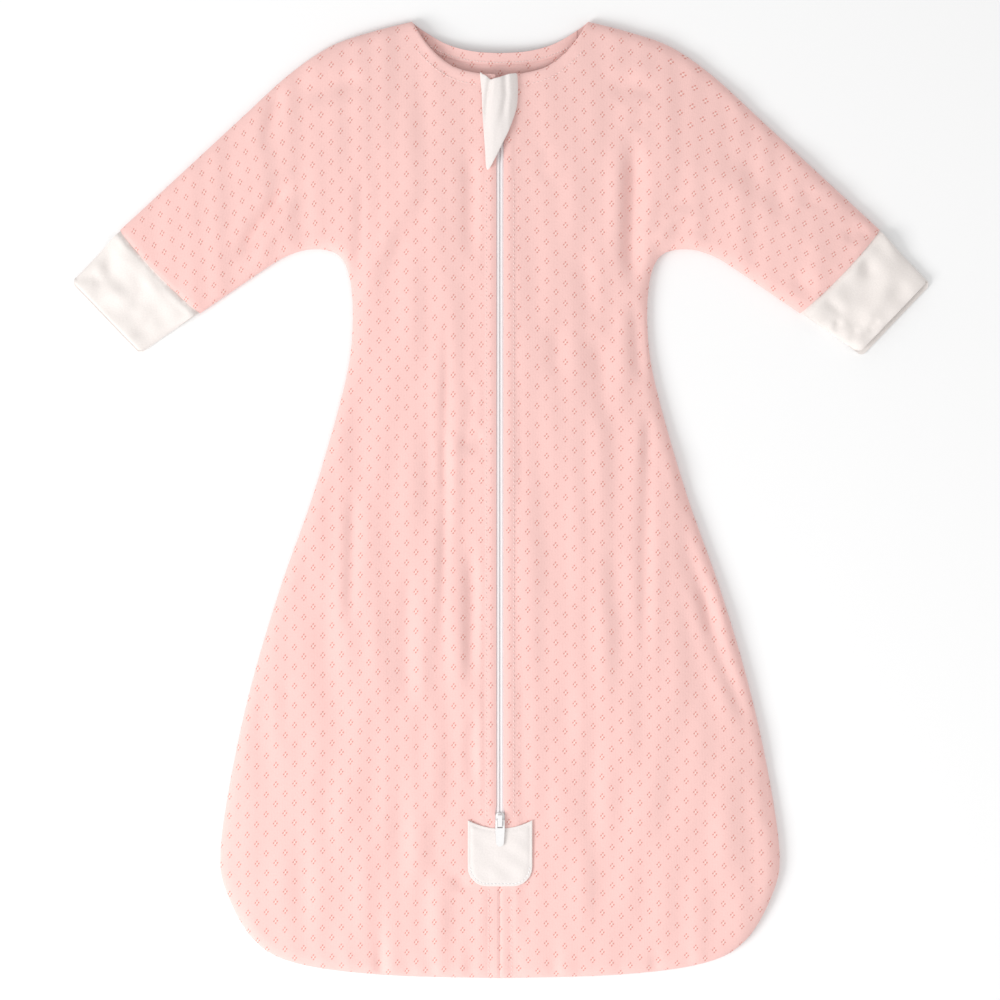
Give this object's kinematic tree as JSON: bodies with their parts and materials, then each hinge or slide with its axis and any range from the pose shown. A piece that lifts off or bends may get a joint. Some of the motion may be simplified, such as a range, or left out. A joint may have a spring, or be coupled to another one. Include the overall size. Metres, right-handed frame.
{
  "type": "baby sleeping bag",
  "caption": "Long-sleeved baby sleeping bag of pink openwork knit, lying flat, with plain turn-back cuffs, a closed front zip, a chin guard and a pocket patch at the zip's lower end.",
  "frame": {"origin": "on the surface below, under the middle of the bag's outline", "axes": "+X across the bag, to the right as seen from the front; +Y towards the neck; +Z out of the front, away from the surface it lies on"},
  "size_m": [0.6228, 0.7, 0.019],
  "materials": {
    "pink_knit": "soft knitted cotton with rows of small holes",
    "pink_seam": "soft folded cotton",
    "cuff_jersey": "soft plain jersey",
    "guard_jersey": "soft plain jersey",
    "patch_jersey": "soft plain jersey",
    "zip_white": "matt",
    "slider_metal": "satin white enamel",
    "pink_thread": "matt thread",
    "white_thread": "matt thread"
  },
  "bodies": {
    "bag": {"back_panel": "pink_knit", "front_left_panel": "pink_knit", "front_right_panel": "pink_knit", "left_side_seam": "pink_seam", "right_side_seam": "pink_seam", "left_shoulder_seam": "pink_seam", "right_shoulder_seam": "pink_seam", "centre_seam": "pink_seam", "centre_stitching": "pink_thread", "back_neck_facing": "pink_seam", "left_neck_facing": "pink_seam", "right_neck_facing": "pink_seam", "zip_tape_upper_ends": "zip_white", "zip_tape_lower_ends": "zip_white", "zip_coil_upper_ends": "zip_white", "zip_coil_lower_ends": "zip_white", "zip_top_stops": "zip_white", "zip_bottom_stop": "zip_white", "zip_patch": "patch_jersey", "zip_patch_stitching": "white_thread", "placket_stitching_ends": "pink_thread", "left_neck_stitching": "pink_thread", "right_neck_stitching": "pink_thread"},
    "left_front": {"left_flap_panel": "pink_knit", "left_zip_tape": "zip_white", "left_zip_coil": "zip_white", "left_placket_stitching": "pink_thread"},
    "right_front": {"right_flap_panel": "pink_knit", "right_zip_tape": "zip_white", "right_zip_coil": "zip_white", "right_placket_stitching": "pink_thread"},
    "slider": {"slider_body": "slider_metal", "slider_crown": "slider_metal"},
    "tab": {"pull_tab": "slider_metal"},
    "guard": {"chin_guard": "guard_jersey"},
    "left_sleeve": {"left_sleeve_front": "pink_knit", "left_sleeve_back": "pink_knit", "left_sleeve_upper_seam": "pink_seam", "left_sleeve_under_seam": "pink_seam"},
    "right_sleeve": {"right_sleeve_front": "pink_knit", "right_sleeve_back": "pink_knit", "right_sleeve_upper_seam": "pink_seam", "right_sleeve_under_seam": "pink_seam"},
    "left_cuff": {"left_cuff_front": "cuff_jersey", "left_cuff_back": "cuff_jersey", "left_cuff_seams": "cuff_jersey"},
    "right_cuff": {"right_cuff_front": "cuff_jersey", "right_cuff_back": "cuff_jersey", "right_cuff_seams": "cuff_jersey"}
  },
  "joints": [
    {"name": "slider_travel", "type": "slide", "parent": "bag", "child": "slider", "axis": [0, 1, 0], "range_m": [0, 0.526]},
    {"name": "left_front_open", "type": "hinge", "parent": "bag", "child": "left_front", "pos_m": [-0.0603, 0, 0.014], "axis": [0, -1, 0], "range_deg": [0, 150]},
    {"name": "right_front_open", "type": "hinge", "parent": "bag", "child": "right_front", "pos_m": [0.0603, 0, 0.014], "axis": [0, 1, 0], "range_deg": [0, 150]},
    {"name": "pull_tab_flip", "type": "hinge", "parent": "slider", "child": "tab", "pos_m": [0, -0.233, 0.0159], "axis": [-1, 0, 0], "range_deg": [0, 180]},
    {"name": "chin_guard_lift", "type": "hinge", "parent": "bag", "child": "guard", "pos_m": [-0.0155, 0.28, 0.0153], "axis": [0, -1, 0], "range_deg": [0, 150]},
    {"name": "left_sleeve_lift", "type": "hinge", "parent": "bag", "child": "left_sleeve", "pos_m": [-0.125, 0.1825, 0.014], "axis": [-0.3174, 0.9483, 0], "range_deg": [0, 80]},
    {"name": "left_cuff_fold", "type": "hinge", "parent": "left_sleeve", "child": "left_cuff", "pos_m": [-0.2195, 0.1365, 0.0103], "axis": [-0.6922, 0.7217, 0], "range_deg": [0, 170]},
    {"name": "right_sleeve_lift", "type": "hinge", "parent": "bag", "child": "right_sleeve", "pos_m": [0.125, 0.1825, 0.014], "axis": [-0.3174, -0.9483, 0], "range_deg": [0, 80]},
    {"name": "right_cuff_fold", "type": "hinge", "parent": "right_sleeve", "child": "right_cuff", "pos_m": [0.2195, 0.1365, 0.0103], "axis": [-0.6922, -0.7217, 0], "range_deg": [0, 170]}
  ],
  "couplings": [
    {"joint": "left_front_open", "follows": "slider_travel", "rad_per_m": 4.9771},
    {"joint": "right_front_open", "follows": "slider_travel", "rad_per_m": 4.9771}
  ]
}
